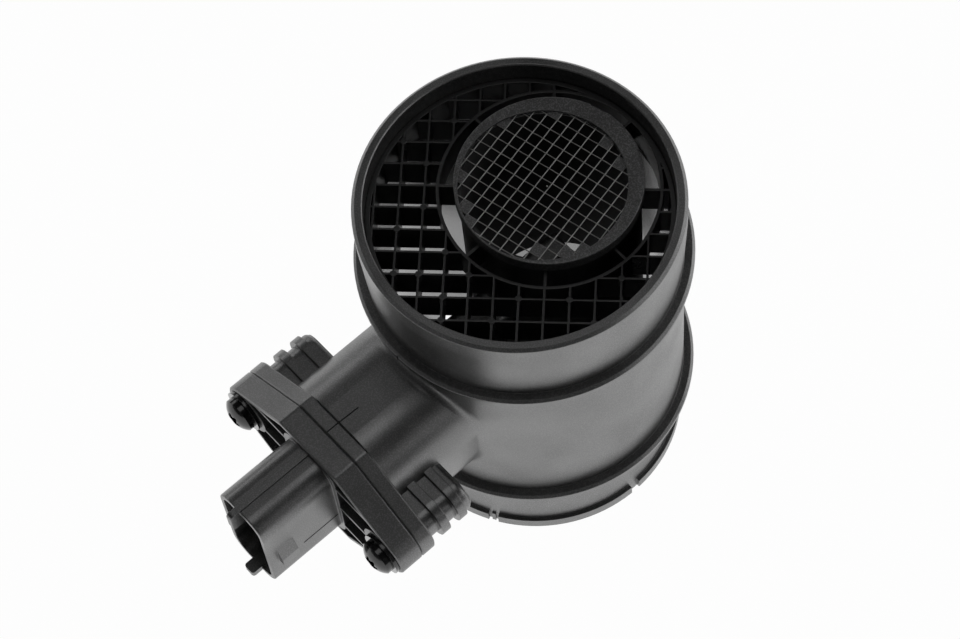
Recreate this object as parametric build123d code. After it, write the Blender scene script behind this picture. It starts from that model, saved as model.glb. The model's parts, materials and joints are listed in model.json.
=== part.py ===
from build123d import *
import math
import os

# A plug-in mass airflow sensor in its air tube, in millimetres.
# The origin is the centre of the lower rim and +Z runs up the tube to the air inlet.
# The neck, its flange and the electrical connector point along -Y.

# Edges closer together than this lie in one plane
SAME = 0.01

# Air tube: radii grow from the bore, heights from the lower rim or down from the upper one
TUBE_HEIGHT = 109.0
BORE_RADIUS = 35.6
OUTLET_RADIUS = BORE_RADIUS + 2.0
MID_RADIUS = BORE_RADIUS + 3.6
INLET_BORE_RADIUS = BORE_RADIUS + 1.7
INLET_LIP_RADIUS = MID_RADIUS + 0.8
INLET_LIP_Z = TUBE_HEIGHT - 6.0
GRID_SEAT_Z = TUBE_HEIGHT - 15.0
RIM_CHAMFER = 0.8
BORE_CHAMFER = 0.3
BEAD_RADIUS = OUTLET_RADIUS + 1.0
BEAD_HEIGHT = 4.0
BEAD_CHAMFER = 0.5
BEAD_PARTS = 6
BEAD_GAP_ANGLE = 4.0
BEAD_TOOTH_WIDTH = 1.0
BAND_RADIUS = MID_RADIUS + 2.6
BAND_THICK = 2.5
BAND_EDGE = 0.7
UPPER_BAND_TOP = TUBE_HEIGHT - 24.2
LOWER_BAND_TOP = 26.9

# Neck and the bolted joint, measured out along -Y from the tube axis
NECK_Z = TUBE_HEIGHT / 2
NECK_HALF_WIDTH = 19.8
NECK_HALF_HEIGHT = 19.4
NECK_CORNER = 15.0
NECK_ROOT_FILLET = 2.5
NECK_BORE_RADIUS = 16.5
JOINT_FACE = BORE_RADIUS + 29.4
HOUSING_FLANGE_BACK = JOINT_FACE - 4.1
SENSOR_FLANGE_FRONT = JOINT_FACE + 6.6
FLANGE_TOP_HALF_WIDTH = 11.8
FLANGE_HALF_HEIGHT = 19.0
FLANGE_CORNER = 2.0
FLANGE_END_RADIUS = 6.8
JOINT_CHAMFER = 0.35
SCREW_X = NECK_HALF_WIDTH + 6.5
SCREW_RISE = 1.5

# Ribbed screw bosses behind the housing flange
BOSS_CORE_RADIUS = 4.6
BOSS_END = HOUSING_FLANGE_BACK - 13.6
BOSS_END_THICK = 2.5
BOSS_END_RADIUS = 5.3
BOSS_END_FILLET = 1.4
BOSS_FIN_RADIUS = 6.1
BOSS_FINS = ((HOUSING_FLANGE_BACK - 3.3, 2.4), (HOUSING_FLANGE_BACK - 8.8, 2.3))
BOSS_WEB_START_X = 12.0

# Screws and washers
SCREW_RADIUS = 2.4
SCREW_LENGTH = 20.0
SCREW_TIP = 0.5
THREAD_CLEARANCE = 0.05
CLEARANCE_HOLE_RADIUS = SCREW_RADIUS + 0.35
WASHER_RADIUS = 5.9
WASHER_THICK = 1.0
SCREW_HOLE_END = SENSOR_FLANGE_FRONT + WASHER_THICK - SCREW_LENGTH - 2.2
HEAD_RADIUS = 4.7
HEAD_HEIGHT = 3.4
HEAD_SIDE = 1.6
RECESS_DEPTH = 2.0
RECESS_LOBE_CENTRE = 1.75
RECESS_LOBE_RADIUS = 0.62
RECESS_LOBES = 6

# Flow grid, collar and measuring tube
GRID_TOP = GRID_SEAT_Z + 9.0
GRID_PITCH = 6.0
GRID_RIB = 0.5
GRID_ANGLE = 45.0
GRID_RING_CLEARANCE = 0.15
GRID_RING_RADIUS = INLET_BORE_RADIUS - GRID_RING_CLEARANCE
GRID_RING_WALL = 1.2
INNER_Y = 9.5
MEASURING_RADIUS = 22.0
MEASURING_WALL = 1.1
MEASURING_BOTTOM = 36.0
MEASURING_TOP = GRID_TOP + 2.6
ARM_SLOT_WIDTH = 15.0
ARM_SLOT_TOP = 76.0
COLLAR_RADIUS = MEASURING_RADIUS + 5.3
COLLAR_WALL = 0.8
RADIAL_RIBS = 8
RADIAL_RIB = 0.7
PAD_RADIUS = 0.8
PAD_DEPTH = 3.0
PAD_PROUD = 0.15
PAD_CELLS = ((-5, 1), (-6, 2), (-6, -4), (-5, -4), (-4, -3), (-5, -1), (-6, -2), (-4, 3))

# Mesh ring and wire mesh
RING_RADIUS = MEASURING_RADIUS + 0.9
RING_TOP = MEASURING_TOP + 1.6
RING_LIP_BOTTOM = MEASURING_TOP - 1.7
RING_LIP_CLEARANCE = 0.15
RING_EDGE = 0.3
RING_NOTCH_DEPTH = 0.6
RING_NOTCH_WIDTH = 4.2
RING_NOTCH_ANGLES = (106.0, 61.5)
MESH_HOLE_RADIUS = MEASURING_RADIUS - 1.6
MESH_HOLE_OFFSET = 2.0
MESH_HOLE_Y = INNER_Y - MESH_HOLE_OFFSET
WIRE = 0.32
WIRE_PITCH = 3.0
WIRE_ANGLE = 12.5
WIRE_CROSSING_X = 1.2
WIRE_CROSSING_Y = 1.9
MESH_RIM = 0.5
MESH_Z = RING_TOP - 0.65
MESH_CLEARANCE = 0.05

# Sensor plug and seal
PLUG_RADIUS = NECK_BORE_RADIUS - 0.15
PLUG_END = JOINT_FACE - 13.0
SEAL_GROOVE_START = JOINT_FACE - 9.0
SEAL_GROOVE_WIDTH = 3.0
SEAL_GROOVE_RADIUS = PLUG_RADIUS - 1.95
SEAL_CLEARANCE = 0.02
PLUG_CHAMFER = 0.6

# Pockets in the sensor flange
POCKET_DEPTH = 4.6
POCKET_RIM = 1.3
POCKET_RIB = 1.1
POCKET_RIB_OFFSET = 11.6
POCKET_SCREW_RADIUS = FLANGE_END_RADIUS + 0.5
POCKET_BASE_MARGIN = 1.3

# Connector socket
SOCKET_HALF_WIDTH = 8.3
SOCKET_HALF_HEIGHT = 16.5
SOCKET_CORNER = 5.5
SOCKET_WALL = 1.5
SOCKET_MOUTH = SENSOR_FLANGE_FRONT + 21.7
SOCKET_FLOOR = SENSOR_FLANGE_FRONT + 3.9
SOCKET_EDGE = 0.35
KEY_TIP = SOCKET_MOUTH + 2.9
KEY_WIDTH = 1.7
KEY_X = -0.45
KEY_BOTTOM = SOCKET_HALF_HEIGHT - 6.3
KEY_PROUD = 0.7
KEY_TIP_RADIUS = 1.2
TAB_WIDTH = 3.4
TAB_X = 0.6
TAB_THICK = 2.0
TAB_START = SOCKET_MOUTH - 3.3
TAB_PROUD = 0.3
TAB_TIP_RADIUS = 0.8
LATCH_START = SOCKET_MOUTH - 7.7
LATCH_LENGTH = 5.0
LATCH_PROUD = 1.7
LATCH_BOTTOM = -4.6
LATCH_FLAT_TOP = -1.5
LATCH_TOP = 4.0

# Arm, with X across it; its pockets open on the +X side
ARM_HALF_THICK = 6.0
ARM_HALF_HEIGHT = 14.0
ARM_TIP_Y = INNER_Y + 4.5
ARM_EDGE = 2.4
ARM_TIP_EDGE = 1.2
POCKET_FLOOR_X = -2.0
COVER_SEAT_X = ARM_HALF_THICK - 1.2
COVER_CLEARANCE = 0.1
COVER_LAP = 1.4
COVER_EDGE = 0.3
BOARD_POCKET_Y = (6.0 - PLUG_END, -14.0)
BOARD_POCKET_HALF_HEIGHT = 11.0

# Electronics, stacked from the pocket floor along +X
PLATE_THICK = 1.0
PLATE_MARGIN = 0.2
BOARD_THICK = 0.7
BOARD_Y = (BOARD_POCKET_Y[0] + 2.5, BOARD_POCKET_Y[1] - 3.0)
BOARD_HALF_HEIGHT = 9.6
CHIP_SIZE = (1.2, 7.0, 8.0)
CHIP_Y = -27.0
CHIP_EDGE = 0.2
CAPACITOR_SIZE = (0.8, 0.9, 1.7)
CAPACITOR_Y = CHIP_Y - 8.0
CAPACITOR_PITCH = 4.0
CAPACITORS = 4
GEL_TOP_X = COVER_SEAT_X - 0.8
GEL_CLEARANCE = 0.05

# Terminals
PINS = 5
PIN_PITCH = 4.0
PIN_THICK = 0.6
PIN_WIDTH = 1.5
PIN_TIP = SOCKET_MOUTH - 4.3
PIN_END = -BOARD_Y[0] - 2.0
PIN_POINT = 0.4

# Bypass channel with its cover and sensing element
CHANNEL = 3.8
CHANNEL_FLOOR_X = 1.0
CHANNEL_LAP = 1.4
INLET_LEG_Y = ARM_TIP_Y - 6.0
SENSING_LEG_Y = -6.0
CROSS_LEG_Z = -6.5
SENSING_LEG_TOP = 7.0
CHANNEL_COVER_TOP = 11.2
CARRIER_X = CHANNEL_FLOOR_X + 1.2
CARRIER_THICK = 0.6
CARRIER_Y = (BOARD_Y[1] - 1.0, SENSING_LEG_Y + 1.6)
CARRIER_HALF_HEIGHT = 2.2
ELEMENT_SIZE = (0.3, 2.2, 2.8)

# Air temperature sensor in a recess on the -X side of the arm
THERMISTOR_Y = -24.0
THERMISTOR_X = 1.4 - ARM_HALF_THICK
THERMISTOR_RECESS = (3.0, 7.0, 10.0)
BEAD_PILL_RADIUS = 1.1
BEAD_PILL_LENGTH = 2.8
BEAD_PILL_EDGE = 0.9
LEAD_RADIUS = 0.25
LEAD_SPACING = 1.0
LEAD_DEPTH = 1.5
LEAD_CLEARANCE = 0.03


def neck_plane(distance):
    """Plane across the neck, facing out along -Y, with its centre on the neck axis."""
    return Plane(origin=(0, -distance, NECK_Z), x_dir=(1, 0, 0), z_dir=(0, -1, 0))


def block(x_range, y_range, z_range):
    """Box between two corners, with z measured from the neck axis."""
    size = [high - low for low, high in (x_range, y_range, z_range)]
    centre = [(high + low) / 2 for low, high in (x_range, y_range, z_range)]
    return Pos(centre[0], centre[1], centre[2] + NECK_Z) * Box(*size)


def shrunk(limits, gap):
    """Range moved in from both its ends by a gap."""
    return limits[0] + gap, limits[1] - gap


def ring(outer, inner, low, high, x=0.0, y=0.0):
    """Upright ring between two heights."""
    height = high - low
    solid = Cylinder(outer, height) - Cylinder(inner, height + 1)
    return Pos(x, y, (low + high) / 2) * solid


def y_cylinder(radius, start, end, x=0.0, rise=0.0):
    """Cylinder along -Y between two distances from the tube axis, set off from the neck axis."""
    return extrude(neck_plane(start) * Pos(x, rise) * Circle(radius), end - start)


def edges_at(body, distance):
    """Edges of a body that lie in the plane at one distance along the neck."""
    return body.edges().filter_by_position(Axis.Y, -distance - SAME, -distance + SAME)


# ---------------------------------------------------------------- air tube

def band_points(top, inner_low, inner_high):
    """Outline of one raised band, from its lower inner corner to its upper one."""
    low = top - BAND_THICK
    return [
        (inner_low, low),
        (BAND_RADIUS - BAND_EDGE, low),
        (BAND_RADIUS, low + BAND_EDGE),
        (BAND_RADIUS, top - BAND_EDGE),
        (BAND_RADIUS - BAND_EDGE, top),
        (inner_high, top),
    ]


def tube_body():
    """Turned shape of the air tube with its bands, spigots and bores."""
    points = [
        (BORE_RADIUS + BEAD_CHAMFER, 0),
        (BEAD_RADIUS - BEAD_CHAMFER, 0),
        (BEAD_RADIUS, BEAD_CHAMFER),
        (BEAD_RADIUS, BEAD_HEIGHT),
        (OUTLET_RADIUS, BEAD_HEIGHT),
    ]
    points += band_points(LOWER_BAND_TOP, OUTLET_RADIUS, MID_RADIUS)
    points += band_points(UPPER_BAND_TOP, MID_RADIUS, MID_RADIUS)
    points += [
        (INLET_LIP_RADIUS, INLET_LIP_Z),
        (INLET_LIP_RADIUS, TUBE_HEIGHT - RIM_CHAMFER),
        (INLET_LIP_RADIUS - RIM_CHAMFER, TUBE_HEIGHT),
        (INLET_BORE_RADIUS + BORE_CHAMFER, TUBE_HEIGHT),
        (INLET_BORE_RADIUS, TUBE_HEIGHT - BORE_CHAMFER),
        (INLET_BORE_RADIUS, GRID_SEAT_Z),
        (BORE_RADIUS, GRID_SEAT_Z),
        (BORE_RADIUS, BEAD_CHAMFER),
    ]
    outline = Plane.XZ * make_face(Polyline(*points, close=True))
    return revolve(outline, Axis.Z)


def bead_gaps():
    """Cutters that split the retaining bead into equal parts."""
    chord = 2 * BEAD_RADIUS * math.sin(math.radians(BEAD_GAP_ANGLE / 2))
    depth = BEAD_RADIUS - OUTLET_RADIUS
    cutter = Pos(OUTLET_RADIUS + depth, 0, BEAD_HEIGHT / 2) * Box(2 * depth, chord, BEAD_HEIGHT + 1)
    return [Rot(0, 0, 360 / BEAD_PARTS * i) * cutter for i in range(BEAD_PARTS)]


def bead_tooth():
    """Narrow key standing in one gap of the bead."""
    depth = BEAD_RADIUS - OUTLET_RADIUS
    tooth = Pos(OUTLET_RADIUS, 0, BEAD_HEIGHT / 2) * Box(depth, BEAD_TOOTH_WIDTH, BEAD_HEIGHT)
    return Rot(0, 0, -360 / BEAD_PARTS) * tooth


def flange_outline():
    """Long diamond outline with rounded ends round the two screws."""
    corner_x = FLANGE_TOP_HALF_WIDTH - FLANGE_CORNER
    corner_y = FLANGE_HALF_HEIGHT - FLANGE_CORNER
    circles = Sketch()
    for side in (-1, 1):
        circles += Pos(side * SCREW_X, SCREW_RISE) * Circle(FLANGE_END_RADIUS)
        for end in (-1, 1):
            circles += Pos(side * corner_x, end * corner_y) * Circle(FLANGE_CORNER)
    return make_hull(circles.edges())


def flange_plate(start, end):
    """Flange between two distances along the neck, with its edges broken."""
    plate = extrude(neck_plane(start) * flange_outline(), end - start)
    return chamfer(edges_at(plate, start) + edges_at(plate, end), JOINT_CHAMFER)


def boss_plate(radius, start, end):
    """Slab across one boss and into the neck side, with a rounded outer end."""
    width = SCREW_X - BOSS_WEB_START_X
    slab = Pos(BOSS_WEB_START_X + width / 2, SCREW_RISE) * Rectangle(width, 2 * radius)
    outline = slab + Pos(SCREW_X, SCREW_RISE) * Circle(radius)
    return extrude(neck_plane(start) * outline, end - start)


def screw_boss():
    """One ribbed boss: a core, two fins and a rounded end, joined to the neck."""
    boss = boss_plate(BOSS_CORE_RADIUS, BOSS_END, HOUSING_FLANGE_BACK)
    end = boss_plate(BOSS_END_RADIUS, BOSS_END, BOSS_END + BOSS_END_THICK)
    outer_edge = edges_at(end, BOSS_END).group_by(Axis.X)[-1]
    boss += fillet(outer_edge, BOSS_END_FILLET)
    for start, thickness in BOSS_FINS:
        boss += boss_plate(BOSS_FIN_RADIUS, start - thickness, start)
    return boss


def fillet_neck_root(body):
    """Round the corner where the neck leaves the tube."""
    low = NECK_Z - NECK_HALF_HEIGHT - SAME
    high = NECK_Z + NECK_HALF_HEIGHT + SAME
    root = []
    for edge in body.edges().filter_by_position(Axis.Z, low, high):
        middle = edge @ 0.5
        on_tube = abs(math.hypot(middle.X, middle.Y) - MID_RADIUS) < SAME
        if on_tube and middle.Y < 0 and abs(middle.X) <= NECK_HALF_WIDTH + SAME:
            root.append(edge)
    return fillet(root, NECK_ROOT_FILLET)


def housing():
    """Air tube, neck, flange and screw bosses, moulded in one piece."""
    neck_outline = RectangleRounded(2 * NECK_HALF_WIDTH, 2 * NECK_HALF_HEIGHT, NECK_CORNER)
    neck = extrude(neck_plane(0) * neck_outline, HOUSING_FLANGE_BACK)
    body = fillet_neck_root(tube_body() + neck)
    body -= Pos(0, 0, NECK_Z) * Cylinder(BORE_RADIUS, 2 * NECK_HALF_HEIGHT + 2)
    boss = screw_boss()
    body += [boss, mirror(boss, Plane.YZ)]
    body += flange_plate(HOUSING_FLANGE_BACK, JOINT_FACE)
    body -= y_cylinder(NECK_BORE_RADIUS, 0, JOINT_FACE + 1)
    hole_radius = SCREW_RADIUS + THREAD_CLEARANCE
    for x in (-SCREW_X, SCREW_X):
        body -= y_cylinder(hole_radius, SCREW_HOLE_END, JOINT_FACE + 1, x, SCREW_RISE)
    body -= bead_gaps()
    body += bead_tooth()
    return body


# ---------------------------------------------------------------- flow grid

def grid_ribs():
    """Square pattern of thin ribs, centred on the measuring tube and turned to the grid angle."""
    reach = 2 * GRID_RING_RADIUS + 2 * INNER_Y
    count = math.ceil(reach / 2 / GRID_PITCH)
    offsets = [i * GRID_PITCH for i in range(-count, count + 1)]
    along = [Pos(offset, 0) * Rectangle(GRID_RIB, reach) for offset in offsets]
    across = [Pos(0, offset) * Rectangle(reach, GRID_RIB) for offset in offsets]
    return Pos(0, INNER_Y) * Rot(0, 0, GRID_ANGLE) * (Sketch() + along + across)


def grid_outline():
    """Plan of the grid: outer ring, ribs and collar with its radial ribs."""
    ring_inner = GRID_RING_RADIUS - GRID_RING_WALL
    outer_ring = Circle(GRID_RING_RADIUS) - Circle(ring_inner)
    collar = Pos(0, INNER_Y) * Circle(COLLAR_RADIUS)
    collar_hole = Pos(0, INNER_Y) * Circle(COLLAR_RADIUS - COLLAR_WALL)
    ribs = (grid_ribs() & Circle(ring_inner + GRID_RING_WALL / 2)) - collar
    tube = Pos(0, INNER_Y) * Circle(MEASURING_RADIUS)
    spoke_length = COLLAR_RADIUS - COLLAR_WALL / 2
    spoke = Pos(spoke_length / 2, 0) * Rectangle(spoke_length, RADIAL_RIB)
    angles = [360 / RADIAL_RIBS * i for i in range(RADIAL_RIBS)]
    spokes = Sketch() + [Pos(0, INNER_Y) * Rot(0, 0, angle) * spoke for angle in angles]
    tube_hole = Pos(0, INNER_Y) * Circle(MEASURING_RADIUS - MEASURING_WALL)
    return ribs + outer_ring + (collar - collar_hole) + (spokes + tube - tube_hole)


def has_crossing(i, j):
    """Whether the crossing of two ribs, counted from the measuring tube, lies between collar and ring."""
    turn = math.radians(GRID_ANGLE)
    x = GRID_PITCH * (i * math.cos(turn) - j * math.sin(turn))
    y = GRID_PITCH * (i * math.sin(turn) + j * math.cos(turn))
    outside_collar = math.hypot(x, y) > COLLAR_RADIUS
    return outside_collar and math.hypot(x, y + INNER_Y) < GRID_RING_RADIUS - GRID_RING_WALL


def grid_pads():
    """Round ejector pads that stand a little proud on some crossings of the ribs."""
    pads = []
    for cell in PAD_CELLS:
        for i, j in (cell, cell[::-1]):
            if not has_crossing(i, j):
                continue
            crossing = Pos(0, INNER_Y) * Rot(0, 0, GRID_ANGLE) * Pos(i * GRID_PITCH, j * GRID_PITCH)
            level = Pos(0, 0, GRID_TOP + PAD_PROUD - PAD_DEPTH / 2)
            pads.append(crossing * level * Cylinder(PAD_RADIUS, PAD_DEPTH))
    return pads


def flow_grid():
    """Flow grid with its collar and the measuring tube, moulded in one piece."""
    body = extrude(Pos(0, 0, GRID_SEAT_Z) * grid_outline(), GRID_TOP - GRID_SEAT_Z)
    body += grid_pads()
    inner = MEASURING_RADIUS - MEASURING_WALL
    body += ring(MEASURING_RADIUS, inner, MEASURING_BOTTOM, MEASURING_TOP, 0, INNER_Y)
    slot_bottom = MEASURING_BOTTOM - 1
    slot_depth = MEASURING_RADIUS + 1
    slot_size = (ARM_SLOT_WIDTH, slot_depth, ARM_SLOT_TOP - slot_bottom)
    slot_centre = Pos(0, INNER_Y - slot_depth / 2, (ARM_SLOT_TOP + slot_bottom) / 2)
    return body - slot_centre * Box(*slot_size)


# ---------------------------------------------------------------- mesh

def ring_notches():
    """Two shallow flats in the rim of the mesh ring."""
    notch = Box(2 * RING_NOTCH_DEPTH, RING_NOTCH_WIDTH, 2 * RING_NOTCH_DEPTH)
    cutter = Pos(RING_RADIUS, 0, RING_TOP) * notch
    return [Pos(0, INNER_Y) * Rot(0, 0, angle) * cutter for angle in RING_NOTCH_ANGLES]


def mesh_ring():
    """Cap ring on the measuring tube, with an off-centre hole that holds the mesh."""
    lip_inner = MEASURING_RADIUS + RING_LIP_CLEARANCE
    body = ring(RING_RADIUS, lip_inner, RING_LIP_BOTTOM, MEASURING_TOP, 0, INNER_Y)
    thick = RING_TOP - MEASURING_TOP
    body += Pos(0, INNER_Y, MEASURING_TOP + thick / 2) * Cylinder(RING_RADIUS, thick)
    body = fillet(body.edges().group_by(Axis.Z)[-1], RING_EDGE)
    body -= ring_notches()
    hole = Cylinder(MESH_HOLE_RADIUS, 3 * thick)
    body -= Pos(0, MESH_HOLE_Y, MEASURING_TOP) * hole
    groove = Cylinder(MESH_HOLE_RADIUS + MESH_RIM, 2 * WIRE)
    return body - Pos(0, MESH_HOLE_Y, MESH_Z) * groove


def wire_mesh():
    """Square mesh of fine wires welded at their crossings, with a thin rim that sits in the ring."""
    radius = MESH_HOLE_RADIUS + MESH_RIM - MESH_CLEARANCE
    rim = Circle(radius) - Circle(MESH_HOLE_RADIUS - MESH_CLEARANCE)
    count = math.ceil(radius / WIRE_PITCH)
    offsets = [i * WIRE_PITCH for i in range(-count, count + 1)]
    length = 3 * radius
    wires = [Pos(offset, 0) * Rectangle(WIRE, length) for offset in offsets]
    wires += [Pos(0, offset) * Rectangle(length, WIRE) for offset in offsets]
    crossing = Pos(WIRE_CROSSING_X, WIRE_CROSSING_Y) * Rot(0, 0, WIRE_ANGLE)
    net = ((crossing * (Sketch() + wires)) & Circle(radius - MESH_RIM / 2)) + rim
    return extrude(Pos(0, MESH_HOLE_Y, MESH_Z - WIRE) * net, 2 * WIRE)


# ---------------------------------------------------------------- sensor

def flange_pockets():
    """Cored pockets in the sensor flange, between the socket and the screws."""
    base = RectangleRounded(
        2 * (SOCKET_HALF_WIDTH + POCKET_BASE_MARGIN),
        2 * (SOCKET_HALF_HEIGHT + POCKET_BASE_MARGIN),
        SOCKET_CORNER,
    )
    region = offset(flange_outline(), -POCKET_RIM) - base
    for side in (-1, 1):
        region -= Pos(side * SCREW_X, SCREW_RISE) * Circle(POCKET_SCREW_RADIUS)
    for height in (-POCKET_RIB_OFFSET, 0, POCKET_RIB_OFFSET):
        region -= Pos(0, height) * Rectangle(3 * SCREW_X, POCKET_RIB)
    floor = SENSOR_FLANGE_FRONT - POCKET_DEPTH
    return [extrude(neck_plane(floor) * face, POCKET_DEPTH + 1) for face in region.faces()]


def socket_section(inset):
    """Rounded outline of the connector shroud, moved inwards by a wall thickness."""
    width = 2 * (SOCKET_HALF_WIDTH - inset)
    height = 2 * (SOCKET_HALF_HEIGHT - inset)
    return RectangleRounded(width, height, SOCKET_CORNER - inset)


def socket_latch():
    """Ramped bump on the +X side of the shroud that holds the plug."""
    wall = SOCKET_HALF_WIDTH - SOCKET_WALL / 2
    tip = SOCKET_HALF_WIDTH + LATCH_PROUD
    points = [(wall, LATCH_BOTTOM), (tip, LATCH_BOTTOM), (tip, LATCH_FLAT_TOP), (wall, LATCH_TOP)]
    profile = make_face(Polyline(*points, close=True))
    return extrude(neck_plane(LATCH_START) * profile, LATCH_LENGTH)


def socket_key():
    """Long key through the top wall of the shroud, with a rounded tip past the mouth."""
    top = SOCKET_HALF_HEIGHT + KEY_PROUD
    outline = Pos(KEY_X, (top + KEY_BOTTOM) / 2) * Rectangle(KEY_WIDTH, top - KEY_BOTTOM)
    key = extrude(neck_plane(SENSOR_FLANGE_FRONT - 1) * outline, KEY_TIP - SENSOR_FLANGE_FRONT + 1)
    tip_edges = key.edges().filter_by(Axis.X).group_by(Axis.Y)[0]
    return fillet(tip_edges, KEY_TIP_RADIUS)


def socket_tab():
    """Short tab under the mouth of the shroud."""
    middle = TAB_THICK / 2 - TAB_PROUD - SOCKET_HALF_HEIGHT
    outline = Pos(TAB_X, middle) * Rectangle(TAB_WIDTH, TAB_THICK)
    tab = extrude(neck_plane(TAB_START) * outline, KEY_TIP - TAB_START)
    tip_edges = tab.edges().filter_by(Axis.Z).group_by(Axis.Y)[0]
    return fillet(tip_edges, TAB_TIP_RADIUS)


def socket():
    """Connector shroud with its keys and latch bump."""
    start = SENSOR_FLANGE_FRONT - 0.5
    shell = extrude(neck_plane(start) * socket_section(0), SOCKET_MOUTH - start)
    mouth_edges = shell.edges().group_by(Axis.Y)[0]
    shell = fillet(mouth_edges, SOCKET_EDGE)
    depth = SOCKET_MOUTH - SOCKET_FLOOR
    shell -= extrude(neck_plane(SOCKET_FLOOR) * socket_section(SOCKET_WALL), depth + 1)
    return shell + [socket_key(), socket_tab(), socket_latch()]


def plug():
    """Round plug that fills the bore of the neck, with the groove for its seal."""
    body = y_cylinder(PLUG_RADIUS, PLUG_END, JOINT_FACE + 1)
    body = chamfer(body.edges().group_by(Axis.Y)[-1], PLUG_CHAMFER)
    groove_end = SEAL_GROOVE_START + SEAL_GROOVE_WIDTH
    groove = y_cylinder(PLUG_RADIUS + 1, SEAL_GROOVE_START, groove_end)
    return body - (groove - y_cylinder(SEAL_GROOVE_RADIUS, SEAL_GROOVE_START, groove_end))


def arm():
    """Flat arm that reaches into the measuring tube, with rounded edges along the flow."""
    root_y = -PLUG_END - 1
    across = (-ARM_HALF_THICK, ARM_HALF_THICK)
    body = block(across, (root_y, ARM_TIP_Y), (-ARM_HALF_HEIGHT, ARM_HALF_HEIGHT))
    body = fillet(body.edges().filter_by(Axis.Y), ARM_EDGE)
    return fillet(body.edges().group_by(Axis.Y)[-1], ARM_TIP_EDGE)


def board_pocket():
    """Room for the board and the seat of its cover."""
    outside = ARM_HALF_THICK + 1
    pocket = block((POCKET_FLOOR_X, outside), *board_room())
    return pocket + block((COVER_SEAT_X, outside), *board_cover_seat())


def board_room():
    """Ranges of the board pocket along the arm and up it."""
    return BOARD_POCKET_Y, (-BOARD_POCKET_HALF_HEIGHT, BOARD_POCKET_HALF_HEIGHT)


def board_cover_seat():
    """Ranges of the seat round the board pocket."""
    return [shrunk(limits, -COVER_LAP) for limits in board_room()]


def channel_cover_seat():
    """Ranges of the seat round the bypass channel."""
    half = CHANNEL / 2
    along = shrunk((SENSING_LEG_Y - half, INLET_LEG_Y + half), -CHANNEL_LAP)
    return along, (CROSS_LEG_Z - half - CHANNEL_LAP, CHANNEL_COVER_TOP)


def channel():
    """Bypass channel: in from the top, round under the element and out through the far side."""
    half = CHANNEL / 2
    outside = ARM_HALF_THICK + 1
    deep = (CHANNEL_FLOOR_X, COVER_SEAT_X)
    low = (CROSS_LEG_Z - half, CROSS_LEG_Z + half)
    inlet = (INLET_LEG_Y - half, INLET_LEG_Y + half)
    sensing = (SENSING_LEG_Y - half, SENSING_LEG_Y + half)
    cut = block(deep, inlet, (low[0], ARM_HALF_HEIGHT + 1))
    cut += block(deep, (sensing[0], inlet[1]), low)
    cut += block(deep, sensing, (low[0], SENSING_LEG_TOP))
    outlet = (SENSING_LEG_TOP - CHANNEL, SENSING_LEG_TOP)
    cut += block((-outside, CHANNEL_FLOOR_X + 1), sensing, outlet)
    cut += block((COVER_SEAT_X, outside), *channel_cover_seat())
    return cut


def thermistor_recess():
    """Shallow recess for the air temperature sensor, with two holes for its leads."""
    depth, width, height = THERMISTOR_RECESS
    along = (THERMISTOR_Y - width / 2, THERMISTOR_Y + width / 2)
    cut = block((-ARM_HALF_THICK - 1, depth - ARM_HALF_THICK), along, (-height / 2, height / 2))
    for lead in lead_cylinders(LEAD_RADIUS + LEAD_CLEARANCE):
        cut += lead
    return cut


def lead_cylinders(radius):
    """The two lead positions, from inside the arm up to the thermistor bead."""
    low = NECK_Z - THERMISTOR_RECESS[2] / 2 - LEAD_DEPTH
    high = NECK_Z - BEAD_PILL_LENGTH / 2
    centre = (low + high) / 2
    return [
        Pos(THERMISTOR_X, THERMISTOR_Y + side * LEAD_SPACING / 2, centre) * Cylinder(radius, high - low)
        for side in (-1, 1)
    ]


def carrier_box():
    """Strip that crosses from the board room into the sensing leg."""
    across = (CARRIER_X, CARRIER_X + CARRIER_THICK)
    return block(across, CARRIER_Y, (-CARRIER_HALF_HEIGHT, CARRIER_HALF_HEIGHT))


def pin_blades():
    """Flat terminals in one row, each with a pointed tip."""
    blades = []
    for i in range(PINS):
        z = (i - (PINS - 1) / 2) * PIN_PITCH
        across = (-PIN_THICK / 2, PIN_THICK / 2)
        blade = block(across, (-PIN_TIP, -PIN_END), (z - PIN_WIDTH / 2, z + PIN_WIDTH / 2))
        tip = blade.edges().filter_by(Axis.X).group_by(Axis.Y)[0]
        blades.append(chamfer(tip, PIN_POINT))
    return blades


def sensor_housing():
    """Sensor flange, connector socket, plug and arm, moulded in one piece."""
    body = flange_plate(JOINT_FACE, SENSOR_FLANGE_FRONT) - flange_pockets()
    body += [plug(), arm(), socket()]
    for x in (-SCREW_X, SCREW_X):
        front = SENSOR_FLANGE_FRONT + 1
        body -= y_cylinder(CLEARANCE_HOLE_RADIUS, JOINT_FACE - 1, front, x, SCREW_RISE)
    body -= [board_pocket(), channel(), thermistor_recess(), carrier_box()]
    return body - pin_blades()


def cover_plate(y_range, z_range):
    """Thin lid that lies flush in its seat on the +X side of the arm."""
    y_range = shrunk(y_range, COVER_CLEARANCE)
    z_range = shrunk(z_range, COVER_CLEARANCE)
    lid = block((COVER_SEAT_X, ARM_HALF_THICK), y_range, z_range)
    return chamfer(lid.edges().group_by(Axis.X)[-1], COVER_EDGE)


def electronics_cover():
    """Lid over the board."""
    return cover_plate(*board_cover_seat())


def channel_cover():
    """Lid over the bypass channel."""
    return cover_plate(*channel_cover_seat())


def base_plate():
    """Metal plate on the floor of the board room."""
    across = (POCKET_FLOOR_X, POCKET_FLOOR_X + PLATE_THICK)
    return block(across, *[shrunk(limits, PLATE_MARGIN) for limits in board_room()])


def board_top():
    """Height of the component side of the board along X."""
    return POCKET_FLOOR_X + PLATE_THICK + BOARD_THICK


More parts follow.
